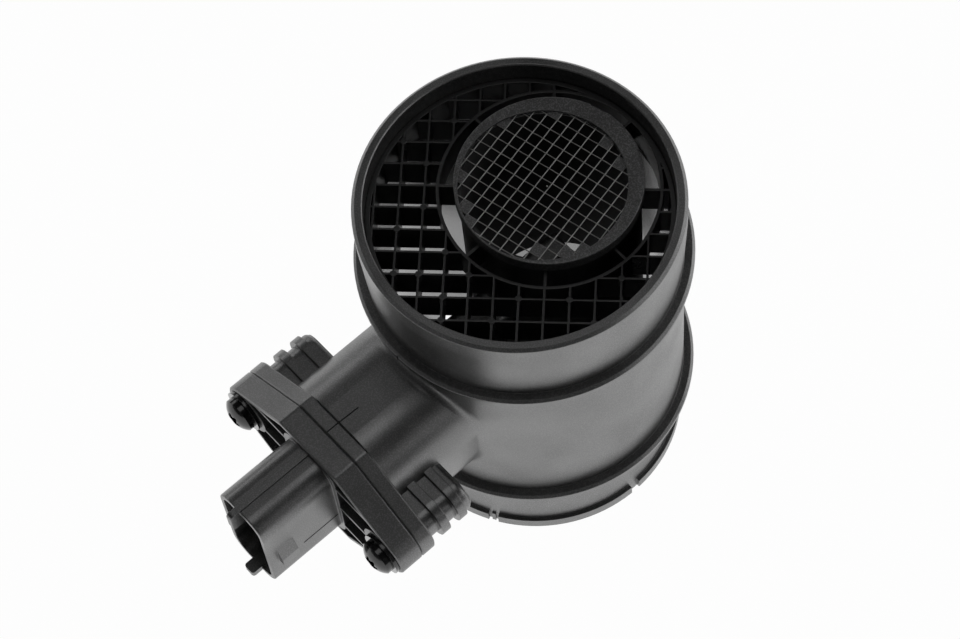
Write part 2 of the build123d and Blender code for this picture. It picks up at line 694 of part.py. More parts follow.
def circuit_board():
    """Ceramic board on the metal plate."""
    across = (board_top() - BOARD_THICK, board_top())
    return block(across, BOARD_Y, (-BOARD_HALF_HEIGHT, BOARD_HALF_HEIGHT))


def on_board(size, y, z):
    """Component standing on the board."""
    thick, length, height = size
    across = (board_top(), board_top() + thick)
    return block(across, (y - length / 2, y + length / 2), (z - height / 2, z + height / 2))


def signal_chip():
    """Packaged chip with its edges broken."""
    chip = on_board(CHIP_SIZE, CHIP_Y, 0)
    return chamfer(chip.edges().group_by(Axis.X)[-1], CHIP_EDGE)


def board_capacitors():
    """Row of equal chip capacitors."""
    offsets = [(i - (CAPACITORS - 1) / 2) * CAPACITOR_PITCH for i in range(CAPACITORS)]
    return [on_board(CAPACITOR_SIZE, CAPACITOR_Y, z) for z in offsets]


def gel_fill():
    """Soft potting that fills the board room round everything in it."""
    across = (POCKET_FLOOR_X + PLATE_THICK, GEL_TOP_X)
    fill = block(across, *[shrunk(limits, GEL_CLEARANCE) for limits in board_room()])
    fill -= [circuit_board(), signal_chip(), carrier_box()]
    fill -= board_capacitors()
    return fill - pin_blades()


def element_carrier():
    """Metal strip that holds the sensing element in the bypass channel."""
    return carrier_box()


def sensing_element():
    """Heated film chip on its carrier."""
    x0 = CARRIER_X + CARRIER_THICK
    thick, length, height = ELEMENT_SIZE
    along = (SENSING_LEG_Y - length / 2, SENSING_LEG_Y + length / 2)
    return block((x0, x0 + thick), along, (-height / 2, height / 2))


def thermistor_bead():
    """Small coated bead with a rounded top."""
    bead = Pos(THERMISTOR_X, THERMISTOR_Y, NECK_Z) * Cylinder(BEAD_PILL_RADIUS, BEAD_PILL_LENGTH)
    return fillet(bead.edges().group_by(Axis.Z)[-1], BEAD_PILL_EDGE)


def neck_seal():
    """Round-section ring that seals the plug in the bore of the neck."""
    section = (NECK_BORE_RADIUS - SEAL_GROOVE_RADIUS) / 2 - SEAL_CLEARANCE
    centre = (NECK_BORE_RADIUS + SEAL_GROOVE_RADIUS) / 2
    middle = SEAL_GROOVE_START + SEAL_GROOVE_WIDTH / 2
    return neck_plane(middle) * Torus(centre, section)


# ---------------------------------------------------------------- fixings

def six_lobe_recess():
    """Six-lobed drive recess, as a flat outline."""
    lobe = Pos(RECESS_LOBE_CENTRE, 0) * Circle(RECESS_LOBE_RADIUS)
    lobes = [Rot(0, 0, 360 / RECESS_LOBES * i) * lobe for i in range(RECESS_LOBES)]
    return Sketch() + [Circle(RECESS_LOBE_CENTRE)] + lobes


def flange_screw(x):
    """Domed screw with a six-lobed recess."""
    under_head = SENSOR_FLANGE_FRONT + WASHER_THICK
    side_top = (HEAD_RADIUS, HEAD_SIDE)
    profile = Polyline(
        (0, -SCREW_LENGTH),
        (SCREW_RADIUS - SCREW_TIP, -SCREW_LENGTH),
        (SCREW_RADIUS, SCREW_TIP - SCREW_LENGTH),
        (SCREW_RADIUS, 0),
        (HEAD_RADIUS, 0),
        side_top,
    )
    dome = ThreePointArc(side_top, (HEAD_RADIUS * 0.62, HEAD_HEIGHT * 0.86), (0, HEAD_HEIGHT))
    axis_line = Line((0, HEAD_HEIGHT), (0, -SCREW_LENGTH))
    turned = revolve(Plane.XZ * make_face([*profile.edges(), dome, axis_line]), Axis.Z)
    recess = extrude(Pos(0, 0, HEAD_HEIGHT - RECESS_DEPTH) * six_lobe_recess(), RECESS_DEPTH + 1)
    return neck_plane(under_head) * Pos(x, SCREW_RISE) * (turned - recess)


def flange_screws():
    """Two identical screws."""
    return [flange_screw(side * SCREW_X) for side in (-1, 1)]


def screw_washers():
    """Two identical plain washers."""
    start = SENSOR_FLANGE_FRONT
    end = start + WASHER_THICK
    washers = []
    for x in (-SCREW_X, SCREW_X):
        disc = y_cylinder(WASHER_RADIUS, start, end, x, SCREW_RISE)
        washers.append(disc - y_cylinder(CLEARANCE_HOLE_RADIUS, start - 1, end + 1, x, SCREW_RISE))
    return washers


PARTS = {
    "housing": housing,
    "flow_grid": flow_grid,
    "mesh_ring": mesh_ring,
    "wire_mesh": wire_mesh,
    "sensor_housing": sensor_housing,
    "neck_seal": neck_seal,
    "terminal_pins": pin_blades,
    "base_plate": base_plate,
    "circuit_board": circuit_board,
    "signal_chip": signal_chip,
    "board_capacitors": board_capacitors,
    "gel_fill": gel_fill,
    "electronics_cover": electronics_cover,
    "element_carrier": element_carrier,
    "sensing_element": sensing_element,
    "channel_cover": channel_cover,
    "thermistor_bead": thermistor_bead,
    "thermistor_leads": lambda: lead_cylinders(LEAD_RADIUS),
    "flange_screws": flange_screws,
    "screw_washers": screw_washers,
}

os.makedirs("parts", exist_ok=True)
for name, make in PARTS.items():
    made = make()
    shape = Compound(children=made) if isinstance(made, list) else made
    export_step(shape, f"parts/{name}.step")
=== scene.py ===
"""Finishes and fine details of a plug-in mass airflow sensor in its air tube.

The solid parts come packed in the frame, in metres. +Z runs up the tube to the
air inlet and the electrical connector points along -Y. This script gives each
part its finish and weaves the wire mesh. It adds small details of the mesh ring
and the mould seams, and sets up the stage, the lights and the camera.
"""

from __future__ import annotations

import json
import logging
import math
from collections.abc import Sequence
from dataclasses import dataclass, field
from enum import Enum

import bpy
from mathutils import Matrix, Vector

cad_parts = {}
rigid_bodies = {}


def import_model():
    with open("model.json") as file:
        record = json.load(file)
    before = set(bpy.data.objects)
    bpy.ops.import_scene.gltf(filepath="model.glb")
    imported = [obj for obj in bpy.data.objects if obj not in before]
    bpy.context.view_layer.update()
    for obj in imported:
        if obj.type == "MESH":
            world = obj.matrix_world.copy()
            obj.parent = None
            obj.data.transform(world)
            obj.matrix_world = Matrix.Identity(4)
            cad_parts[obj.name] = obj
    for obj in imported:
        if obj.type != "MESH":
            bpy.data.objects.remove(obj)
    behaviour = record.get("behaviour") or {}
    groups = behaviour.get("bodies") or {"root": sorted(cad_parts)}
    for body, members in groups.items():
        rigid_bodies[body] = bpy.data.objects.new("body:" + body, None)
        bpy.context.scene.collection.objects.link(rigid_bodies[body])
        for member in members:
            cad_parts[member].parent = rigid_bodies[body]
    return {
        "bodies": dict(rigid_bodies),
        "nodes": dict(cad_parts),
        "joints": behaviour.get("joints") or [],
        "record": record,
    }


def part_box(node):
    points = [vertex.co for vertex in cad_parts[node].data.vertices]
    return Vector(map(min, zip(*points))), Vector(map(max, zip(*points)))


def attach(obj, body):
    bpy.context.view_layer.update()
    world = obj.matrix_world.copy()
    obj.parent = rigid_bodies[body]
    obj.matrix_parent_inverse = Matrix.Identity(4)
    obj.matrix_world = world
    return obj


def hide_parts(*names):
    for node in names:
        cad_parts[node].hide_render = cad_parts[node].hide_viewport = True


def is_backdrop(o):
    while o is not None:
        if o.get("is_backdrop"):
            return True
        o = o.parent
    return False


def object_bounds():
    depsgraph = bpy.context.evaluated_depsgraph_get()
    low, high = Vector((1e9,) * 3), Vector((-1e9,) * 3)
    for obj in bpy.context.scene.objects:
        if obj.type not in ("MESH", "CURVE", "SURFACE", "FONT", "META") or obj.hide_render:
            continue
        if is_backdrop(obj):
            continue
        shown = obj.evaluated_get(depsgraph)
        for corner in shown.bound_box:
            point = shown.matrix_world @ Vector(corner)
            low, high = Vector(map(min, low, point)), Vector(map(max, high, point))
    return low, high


LOG = logging.getLogger("airflow_sensor")
MM = 0.001
ROOT = "root"

Colour = tuple[float, float, float]
Point = tuple[float, float, float]
Tree = bpy.types.NodeTree
Node = bpy.types.Node
Socket = bpy.types.NodeSocket

FLOAT = "NodeSocketFloat"
VECTOR = "NodeSocketVector"

# Moulded grain: noise scales per metre, and the noise at which a grain starts
# to show as a speck and is a full one.
GRAIN_SCALE = 3000.0
GRAIN_DETAIL = 2.0
SPECK_LOW = 0.48
SPECK_HIGH = 0.62

# Slow noise of colour and gloss, and the range that most of it lies in.
FLOW_SCALE = 60.0
FLOW_DETAIL = 4.0
FLOW_LOW = 0.3
FLOW_HIGH = 0.7

# Soft edges: how fast the mask grows with the turn of the surface, the rays
# that find it, and the painted highlight that even a black edge gains in colour.
EDGE_SHARPNESS = 8.0
EDGE_SAMPLES = 6
EDGE_PAINTED_LIGHT = 0.01


class Slot(Enum):
    """Material slots of the record, one for each finish."""

    HOUSING = "housing_plastic"
    GRID = "grid_plastic"
    RING = "ring_plastic"
    SENSOR = "sensor_plastic"
    COVER = "cover_plastic"
    MESH = "mesh_steel"
    SCREW = "screw_steel"
    WASHER = "washer_steel"
    SEAL = "seal_rubber"
    TERMINAL = "terminal_metal"
    PLATE = "plate_metal"
    BOARD = "board_ceramic"
    CHIP = "chip_case"
    CAPACITOR = "capacitor_body"
    GEL = "potting_gel"
    CARRIER = "carrier_metal"
    ELEMENT = "element_film"
    BEAD = "bead_coating"
    LEAD = "lead_wire"


# ---------------------------------------------------------------- shader helpers


def new_group(name: str, inputs: dict[str, str], outputs: dict[str, str]) -> Tree:
    """Make an empty shader node group with named sockets.

    Args:
        name: Name of the group.
        inputs: Socket name to socket type.
        outputs: Socket name to socket type.

    Returns:
        The node tree, with its input and output nodes named "in" and "out".
    """
    group = bpy.data.node_groups.new(name, "ShaderNodeTree")
    for way, sockets in (("INPUT", inputs), ("OUTPUT", outputs)):
        for label, kind in sockets.items():
            group.interface.new_socket(name=label, in_out=way, socket_type=kind)
    group.nodes.new("NodeGroupInput").name = "in"
    group.nodes.new("NodeGroupOutput").name = "out"
    return group


def connect_outputs(group: Tree, values: dict[str, Socket]) -> None:
    """Connect values to the outputs of a group by their names."""
    for label, value in values.items():
        group.links.new(value, group.nodes["out"].inputs[label])


def add_node(
    tree: Tree, kind: str, values: dict[str | int, object] | None = None, **settings: object
) -> Node:
    """Add a shader node with its settings and socket values.

    Args:
        tree: Tree to add the node to.
        kind: Node type.
        values: Input socket name or index to constant value or output socket.
        **settings: Attributes of the node.

    Returns:
        The new node.
    """
    node = tree.nodes.new(kind)
    for label, value in settings.items():
        setattr(node, label, value)
    for label, value in (values or {}).items():
        socket = node.inputs[label]
        if isinstance(value, bpy.types.NodeSocket):
            tree.links.new(value, socket)
        else:
            socket.default_value = value
    return node


def maths(tree: Tree, operation: str, *values: float | Socket, clamp: bool = False) -> Socket:
    """Add a maths node.

    Args:
        tree: Tree to add the node to.
        operation: What the node does.
        *values: Its values, constant or from other nodes.
        clamp: Whether the result is kept between 0 and 1.

    Returns:
        The result.
    """
    inputs = dict(enumerate(values))
    node = add_node(tree, "ShaderNodeMath", inputs, operation=operation, use_clamp=clamp)
    return node.outputs[0]


def remap(
    tree: Tree,
    value: Socket,
    low: float,
    high: float,
    to_low: float = 0.0,
    to_high: float = 1.0,
) -> Socket:
    """Map a value from one range to another and keep it inside.

    Args:
        tree: Tree to add the node to.
        value: The value.
        low: Start of its range.
        high: End of its range.
        to_low: What the start becomes.
        to_high: What the end becomes.

    Returns:
        The mapped value.
    """
    ranges = {"From Min": low, "From Max": high, "To Min": to_low, "To Max": to_high}
    return add_node(tree, "ShaderNodeMapRange", {"Value": value, **ranges}).outputs[0]


def blend(
    tree: Tree, share: Socket, under: Sequence[float] | Socket, over: Sequence[float]
) -> Socket:
    """Lay one colour over another.

    Args:
        tree: Tree to add the node to.
        share: How much of the upper colour shows.
        under: The lower colour, constant or from another node.
        over: The upper colour.

    Returns:
        The mixed colour.
    """
    base = under if isinstance(under, bpy.types.NodeSocket) else (*under, 1.0)
    values = {"Factor": share, "A": base, "B": (*over, 1.0)}
    return add_node(tree, "ShaderNodeMix", values, data_type="RGBA").outputs["Result"]


def mix_shaders(tree: Tree, share: Socket, first: Node, second: Node) -> Socket:
    """Mix two shader nodes, where a share of 1 is all of the second, and return the output."""
    values = {0: share, 1: first.outputs[0], 2: second.outputs[0]}
    return add_node(tree, "ShaderNodeMixShader", values).outputs[0]


def seen_straight(tree: Tree) -> Socket:
    """Mask of what the camera sees, straight or through something clear."""
    path = add_node(tree, "ShaderNodeLightPath").outputs
    return maths(tree, "ADD", path["Is Camera Ray"], path["Is Transmission Ray"], clamp=True)


def grain_group() -> Tree:
    """Moulded surface grain.

    Returns:
        A group with a Height for bump, a Tone that wanders over the surface and
        a Speck mask that is 1 on the highest grains.
    """
    outputs = {"Height": FLOAT, "Tone": FLOAT, "Speck": FLOAT}
    group = new_group("moulded_grain", {"Vector": VECTOR}, outputs)
    where = group.nodes["in"].outputs["Vector"]
    fine, flow = (
        add_node(
            group,
            "ShaderNodeTexNoise",
            {"Vector": where, "Scale": scale, "Detail": detail},
        ).outputs["Fac"]
        for scale, detail in ((GRAIN_SCALE, GRAIN_DETAIL), (FLOW_SCALE, FLOW_DETAIL))
    )
    speck = remap(group, fine, SPECK_LOW, SPECK_HIGH)
    connect_outputs(group, {"Height": fine, "Tone": flow, "Speck": speck})
    return group


def edge_group() -> Tree:
    """Soft outer edges that catch the light, with a mask for a painted edge highlight.

    Returns:
        A group with the rounded Normal and a Mask that is 1 along edges.
    """
    group = new_group("soft_edges", {"Radius": FLOAT}, {"Normal": VECTOR, "Mask": FLOAT})
    radius = group.nodes["in"].outputs["Radius"]
    bevel = add_node(group, "ShaderNodeBevel", {"Radius": radius}, samples=EDGE_SAMPLES)
    rounded = bevel.outputs["Normal"]
    flat = add_node(group, "ShaderNodeNewGeometry").outputs["Normal"]
    facing = add_node(
        group, "ShaderNodeVectorMath", {0: rounded, 1: flat}, operation="DOT_PRODUCT"
    )
    turn = maths(group, "SUBTRACT", 1.0, facing.outputs["Value"])
    mask = maths(group, "MULTIPLY", turn, EDGE_SHARPNESS, clamp=True)
    connect_outputs(group, {"Normal": rounded, "Mask": mask})
    return group


def bore_group() -> Tree:
    """Inside of an upright bore, which the mould core leaves smoother.

    Returns:
        A group with a Mask that is 1 inside the bore's radius.
    """
    inputs = {"Vector": VECTOR, "Radius": FLOAT, "Offset": FLOAT}
    group = new_group("bore_polish", inputs, {"Mask": FLOAT})
    source = group.nodes["in"].outputs
    place = add_node(group, "ShaderNodeSeparateXYZ", {0: source["Vector"]}).outputs
    across = maths(group, "SUBTRACT", place["Y"], source["Offset"])
    square = maths(group, "MULTIPLY", across, across)
    square = maths(group, "MULTIPLY_ADD", place["X"], place["X"], square)
    reach = maths(group, "SQRT", square)
    connect_outputs(group, {"Mask": maths(group, "LESS_THAN", reach, source["Radius"])})
    return group


class Effects:
    """The node groups that the finishes share, each built once."""

    def __init__(self) -> None:
        """Build the shared groups."""
        self.grain = grain_group()
        self.edges = edge_group()
        self.bore = bore_group()


@dataclass(frozen=True)
class Finish:
    """A surface finish with its grain, tone, edges and painted edge highlight.

    Attributes:
        slot: Material slot that it fills.
        colour: Base colour.
        roughness: Roughness of a clean flat area.
        metallic: Share of metal.
        specular: Specular level.
        ior: Index of refraction.
        coat: Weight of a clear coat.
        grain_depth: Bump distance of the grain, in metres.
        tone_spread: How far the colour wanders from its base.
        gloss_spread: How far the roughness wanders from its base.
        edge_radius: Radius of the softened edges, in metres.
        painted_edge_highlight: How much lighter the edges are painted, as a painted highlight.
        speckle: How much lighter the highest grains are, as a share of white.
        bore: Radius of a smoother upright bore, in metres.
        bore_offset: Distance of the bore's axis along Y, in metres.
        bore_roughness: Roughness inside the bore.
        label: Name of the material, where it isn't its slot's.
    """

    slot: Slot
    colour: Colour
    roughness: float
    metallic: float = 0.0
    specular: float = 0.5
    ior: float = 1.5
    coat: float = 0.0
    grain_depth: float = 0.00002
    tone_spread: float = 0.25
    gloss_spread: float = 0.08
    edge_radius: float = 0.0003
    painted_edge_highlight: float = 0.6
    speckle: float = 0.0
    bore: float = 0.0
    bore_offset: float = 0.0
    bore_roughness: float = 0.12
    label: str = ""

    def material(self, effects: Effects) -> bpy.types.Material:
        """Build the material.

        Args:
            effects: Shared node groups.

        Returns:
            The material, named for its slot or by its label.
        """
        material = bpy.data.materials.new(self.label or self.slot.value)
        material.use_nodes = True
        tree = material.node_tree
        surface = tree.nodes["Principled BSDF"].inputs
        surface["Metallic"].default_value = self.metallic
        surface["Specular IOR Level"].default_value = self.specular
        surface["IOR"].default_value = self.ior
        surface["Coat Weight"].default_value = self.coat
        where = add_node(tree, "ShaderNodeTexCoord").outputs["Object"]
        grain = add_node(tree, "ShaderNodeGroup", {"Vector": where}, node_tree=effects.grain)
        radius = {"Radius": self.edge_radius}
        edges = add_node(tree, "ShaderNodeGroup", radius, node_tree=effects.edges)
        tree.links.new(self.tone(tree, grain, edges), surface["Base Color"])
        smoothest = self.roughness - self.gloss_spread
        roughest = self.roughness + self.gloss_spread
        gloss = remap(tree, grain.outputs["Tone"], FLOW_LOW, FLOW_HIGH, smoothest, roughest)
        tree.links.new(self.polish(tree, where, gloss, effects), surface["Roughness"])
        relief = {
            "Height": grain.outputs["Height"],
            "Normal": edges.outputs["Normal"],
            "Distance": self.grain_depth,
        }
        bump = add_node(tree, "ShaderNodeBump", relief)
        tree.links.new(bump.outputs["Normal"], surface["Normal"])
        return material

    def tone(self, tree: Tree, grain: Node, edges: Node) -> Socket:
        """Colour that wanders, shows specks and is painted lighter along the edges as a highlight.

        Args:
            tree: The material's tree.
            grain: The grain group node.
            edges: The edge group node.

        Returns:
            The colour output.
        """
        low = [c * (1 - self.tone_spread) for c in self.colour]
        high = [c * (1 + self.tone_spread) for c in self.colour]
        speck = [c + self.speckle for c in self.colour]
        # Painted highlight: the edges are lighter in colour to stand in for the light that they
        # catch.
        gain = EDGE_PAINTED_LIGHT * self.painted_edge_highlight
        highlighted_edge = [min(1.0, c * (1 + self.painted_edge_highlight) + gain) for c in self.colour]
        body = blend(tree, grain.outputs["Tone"], low, high)
        body = blend(tree, grain.outputs["Speck"], body, speck)
        return blend(tree, edges.outputs["Mask"], body, highlighted_edge)

    def polish(self, tree: Tree, where: Socket, gloss: Socket, effects: Effects) -> Socket:
        """Give the inside of the bore its own roughness.

        Args:
            tree: The material's tree.
            where: Object coordinates.
            gloss: Roughness elsewhere.
            effects: Shared node groups.

        Returns:
            The roughness output.
        """
        if not self.bore:
            return gloss
        place = {"Vector": where, "Radius": self.bore, "Offset": self.bore_offset}
        mask = add_node(tree, "ShaderNodeGroup", place, node_tree=effects.bore).outputs["Mask"]
        values = {"Factor": mask, "A": gloss, "B": self.bore_roughness}
        return add_node(tree, "ShaderNodeMix", values, data_type="FLOAT").outputs["Result"]


BLACK: Colour = (0.008, 0.008, 0.0083)
CHARCOAL: Colour = (0.012, 0.012, 0.0125)

FINISHES = (
    Finish(Slot.HOUSING, BLACK, 0.36, specular=1.0, ior=1.9, speckle=0.09, bore=0.0358),
    Finish(
        Slot.GRID, BLACK, 0.34, specular=1.0, grain_depth=0.00001, speckle=0.01,
        bore=0.0212, bore_offset=0.0095, bore_roughness=0.85,
    ),
    Finish(Slot.RING, CHARCOAL, 0.36, specular=1.0, ior=1.7, grain_depth=0.00003, speckle=0.12),
    Finish(Slot.SENSOR, BLACK, 0.36, specular=1.0, ior=1.85, speckle=0.09),
    Finish(Slot.COVER, (0.016, 0.016, 0.0165), 0.5),
    Finish(
        Slot.MESH, (0.42, 0.42, 0.41), 0.36, metallic=1.0, edge_radius=0.00002, painted_edge_highlight=0.0,
    ),
    Finish(
        Slot.SCREW, (0.006, 0.006, 0.0065), 0.16, gloss_spread=0.04, coat=0.3,
        grain_depth=0.000004, edge_radius=0.0002,
    ),
    Finish(
        Slot.WASHER, CHARCOAL, 0.2, gloss_spread=0.04, coat=0.5,
        grain_depth=0.000004, edge_radius=0.0002,
    ),
    Finish(Slot.SEAL, (0.03, 0.028, 0.028), 0.6, edge_radius=0.0001),
    Finish(Slot.TERMINAL, (0.72, 0.7, 0.66), 0.28, metallic=1.0, edge_radius=0.0001),
    Finish(Slot.PLATE, (0.7, 0.7, 0.71), 0.35, metallic=1.0, edge_radius=0.0001),
    Finish(Slot.BOARD, (0.78, 0.77, 0.72), 0.35, edge_radius=0.0001, painted_edge_highlight=0.0),
    Finish(Slot.CHIP, (0.03, 0.03, 0.032), 0.5, edge_radius=0.0001),
    Finish(Slot.CAPACITOR, (0.45, 0.33, 0.22), 0.35, edge_radius=0.0001),
    Finish(Slot.GEL, (0.7, 0.7, 0.64), 0.2, coat=0.3, edge_radius=0.0002, painted_edge_highlight=0.0),
    Finish(Slot.CARRIER, (0.6, 0.6, 0.6), 0.35, metallic=1.0, edge_radius=0.0001),
    Finish(Slot.ELEMENT, (0.14, 0.2, 0.28), 0.15, edge_radius=0.0001, painted_edge_highlight=0.0),
    Finish(Slot.BEAD, (0.05, 0.05, 0.05), 0.3, edge_radius=0.0001),
    Finish(Slot.LEAD, (0.7, 0.68, 0.64), 0.3, metallic=1.0, edge_radius=0.00005),
)

# Painted shade: the raised seams are real, but this near-black, dull finish stands in for the
# shade of a groove.
SEAM_PAINTED_SHADE = Finish(
    Slot.HOUSING, (0.003, 0.003, 0.003), 0.7, specular=0.15, painted_edge_highlight=0.0,
    label="seam_painted_shade",
)


# ---------------------------------------------------------------- modelling helpers


def deselect() -> None:
    """Deselect every object, so that operators act on what is added next."""
    bpy.ops.object.select_all(action="DESELECT")


def select_only(*things: bpy.types.Object) -> None:
    """Select some objects alone and make the first one active.

    Args:
        *things: The objects.
    """
    deselect()
    for thing in things:
        thing.select_set(True)
    bpy.context.view_layer.objects.active = things[0]


def apply_place(thing: bpy.types.Object) -> None:
    """Put an object's place, turn and scale into its mesh."""
    select_only(thing)
    bpy.ops.object.transform_apply(location=True, rotation=True, scale=True)


def settle(thing: bpy.types.Object, name: str) -> bpy.types.Object:
    """Put an object's place into its mesh and name it.

    Args:
        thing: The finished object.
        name: Name for the object and its mesh.

    Returns:
        The same object, at the origin, unturned and unscaled.
    """
    apply_place(thing)
    thing.name = name
    thing.data.name = name
    return thing


def wear(thing: bpy.types.Object, material: bpy.types.Material) -> None:
    """Make one material the only one of an object and report the object.

    Args:
        thing: The object.
        material: The material.
    """
    thing.data.materials.clear()
    thing.data.materials.append(material)
    for face in thing.data.polygons:
        face.material_index = 0
    LOG.info("%s: %s, %d faces", thing.name, material.name, len(thing.data.polygons))


def join_pieces(
    pieces: list[bpy.types.Object], name: str, material: bpy.types.Material
) -> bpy.types.Object:
    """Join shapes into one named object with one finish.

    Args:
        pieces: Shapes to join.
        name: Name of the object.
        material: Its finish.

    Returns:
        The object, at the origin.
    """
    select_only(*pieces)
    if len(pieces) > 1:
        bpy.ops.object.join()
    whole = settle(bpy.context.object, name)
    wear(whole, material)
    return whole


def finish_piece(
    pieces: list[bpy.types.Object], name: str, material: bpy.types.Material
) -> None:
    """Join shapes into one fixed piece of the part.

    Args:
        pieces: Shapes to join.
        name: Name of the piece.
        material: Its finish.
    """
    whole = join_pieces(pieces, name, material)
    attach(whole, ROOT)


def trim(thing: bpy.types.Object, planes: list[tuple[Vector, Vector]]) -> None:
    """Cut a mesh off beyond some planes and close it again.

    Args:
        thing: The object, with its place in its mesh.
        planes: Point and outward direction of each plane, in metres.
    """
    select_only(thing)
    bpy.ops.object.mode_set(mode="EDIT")
    for point, outward in planes:
        bpy.ops.mesh.select_all(action="SELECT")
        bpy.ops.mesh.bisect(plane_co=point, plane_no=outward, clear_outer=True, use_fill=True)
    bpy.ops.mesh.select_all(action="SELECT")
    bpy.ops.mesh.normals_make_consistent(inside=False)
    bpy.ops.object.mode_set(mode="OBJECT")


@dataclass
class WovenMesh:
    """Round wires woven over and under, trimmed to the groove of the mesh ring.

    Attributes:
        wire_radius: Radius of a wire, in millimetres like all sizes here.
        crimp: Rise of a wire at a crossing, as a share of its radius.
        pitch: Distance between wires.
        turn: Degrees that the mesh is turned from X.
        crossing_x: Place of the middle crossing across the mesh.
        crossing_y: Place of the middle crossing along the mesh.
        rim: Distance from the mesh's edge to the ends of the wires.
        spare_pitches: Pitches that the master wire is longer than the widest row.
        steps_per_pitch: Steps along a wire for each pitch.
        sides: Sides of a wire's section.
        centre: Middle of the mesh, in metres.
        reach: Radius that the wires fill.
    """

    wire_radius: float = 0.15
    crimp: float = 0.3
    pitch: float = 3.0
    turn: float = 12.5
    crossing_x: float = 1.2
    crossing_y: float = 1.9
    rim: float = 0.3
    spare_pitches: int = 4
    steps_per_pitch: int = 6
    sides: int = 8
    centre: Vector = field(init=False)
    reach: float = field(init=False)

    def __post_init__(self) -> None:
        """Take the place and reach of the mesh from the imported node."""
        low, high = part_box("wire_mesh")
        self.centre = (low + high) / 2
        self.reach = (high.x - low.x) / 2 / MM - self.rim

    def height(self, along: float) -> float:
        """Height of the wire's middle above the mesh's, at a distance along it."""
        return self.crimp * self.wire_radius * math.cos(math.pi * along / self.pitch)

    def master_wire(self) -> bpy.types.Object:
        """Model one crimped wire along X, centred, long enough for the widest row.

        Returns:
            The wire, which rises over its middle crossing.
        """
        pitches = 2 * math.ceil(self.reach / self.pitch) + self.spare_pitches
        step = self.pitch / self.steps_per_pitch
        start = -pitches * self.pitch / 2
        deselect()
        bpy.ops.mesh.primitive_circle_add(
            vertices=self.sides,
            radius=self.wire_radius * MM,
            location=(start * MM, 0, self.height(start) * MM),
            rotation=(0, math.pi / 2, 0),
        )
        wire = bpy.context.object
        apply_place(wire)
        bpy.ops.object.mode_set(mode="EDIT")
        bpy.ops.mesh.select_all(action="SELECT")
        for index in range(pitches * self.steps_per_pitch):
            here = start + index * step
            rise = self.height(here + step) - self.height(here)
            bpy.ops.mesh.extrude_region_move(
                TRANSFORM_OT_translate={"value": (step * MM, 0, rise * MM)}
            )
        bpy.ops.mesh.select_all(action="SELECT")
        bpy.ops.mesh.normals_make_consistent(inside=False)
        bpy.ops.object.mode_set(mode="OBJECT")
        bpy.ops.object.shade_smooth()
        return wire

    def lay(self, master: bpy.types.Object, row: int, across: bool) -> bpy.types.Object | None:
        """Copy the master wire into one row and trim it to the ring.

        Args:
            master: The crimped wire.
            row: Row number from the middle crossing.
            across: Whether the row runs across instead of along.

        Returns:
            The trimmed wire, or None where the row misses the hole.
        """
        sign = -1 if across else 1
        turn = math.radians(self.turn + (90 if across else 0))
        along = Vector((math.cos(turn), math.sin(turn), 0))
        side = Vector((-along.y, along.x, 0)) * sign
        middle = Vector((self.crossing_x, self.crossing_y, 0)) + side * row * self.pitch
        foot = middle - along * middle.dot(along)
        gap = foot.length
        if gap >= self.reach - self.wire_radius:
            return None
        half = math.sqrt(self.reach**2 - gap**2)
        wire = master.copy()
        wire.data = master.data.copy()
        bpy.context.collection.objects.link(wire)
        lift = Matrix.Scale(-1 if (row % 2) ^ across else 1, 4, (0, 0, 1))
        place = Matrix.Translation(self.centre + middle * MM)
        wire.matrix_world = place @ Matrix.Rotation(turn, 4, "Z") @ lift
        apply_place(wire)
        ends = (self.centre + (foot + along * end * half) * MM for end in (-1, 1))
        trim(wire, list(zip(ends, (-along, along), strict=True)))
        return wire

    def build(self, material: bpy.types.Material) -> None:
        """Weave the whole mesh as one piece.

        Args:
            material: Finish of the wires.
        """
        master = self.master_wire()
        count = math.ceil(self.reach / self.pitch) + 1
        rows = [(row, across) for across in (False, True) for row in range(-count, count + 1)]
        wires = [wire for row, across in rows if (wire := self.lay(master, row, across))]
        bpy.data.objects.remove(master)
        woven = join_pieces(wires, "woven_mesh", material)
        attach(woven, ROOT)
        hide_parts("wire_mesh")


